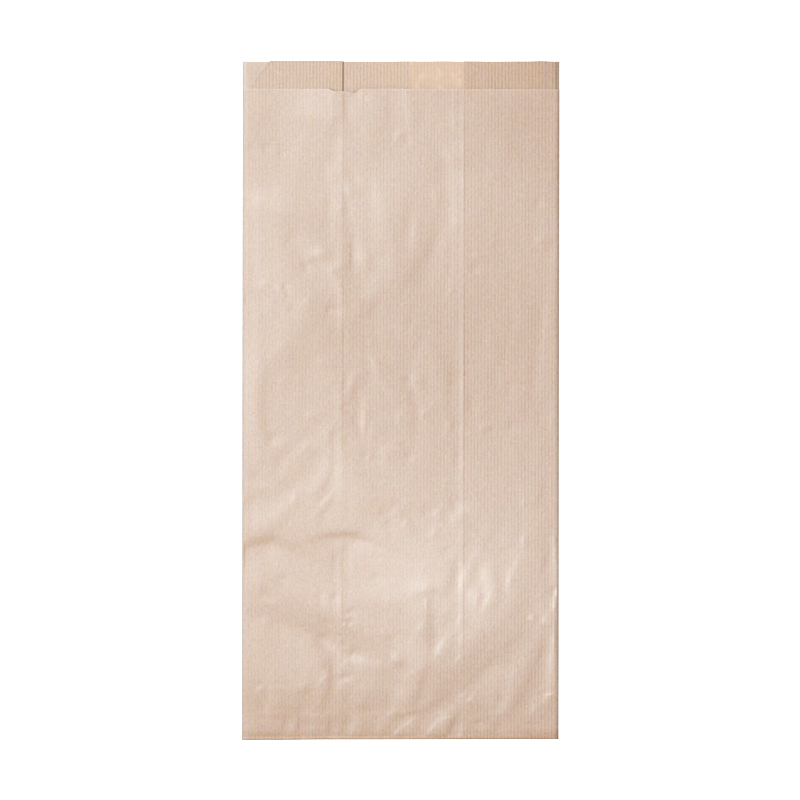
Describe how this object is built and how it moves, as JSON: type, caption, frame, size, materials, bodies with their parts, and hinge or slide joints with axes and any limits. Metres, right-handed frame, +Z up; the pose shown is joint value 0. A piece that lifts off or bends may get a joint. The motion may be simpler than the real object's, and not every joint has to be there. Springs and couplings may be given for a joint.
{
  "type": "paper bag",
  "caption": "Flat side-gusseted kraft paper bag, empty, with a stepped open mouth, a glued back seam and a bottom end folded under.",
  "frame": {"origin": "on the surface the bag lies on, under the middle of its 150 x 322 mm outline", "axes": "+Z up through the layers, +Y along the bag from the folded bottom to the open mouth, +X to the right when looking down on the front panel with the mouth away from the viewer"},
  "size_m": [0.15, 0.322, 0.0044],
  "materials": {
    "kraft_paper": "fine vertical ribs, slight sheen outside"
  },
  "bodies": {
    "root": {"paper_bag": "kraft_paper"}
  },
  "joints": []
}
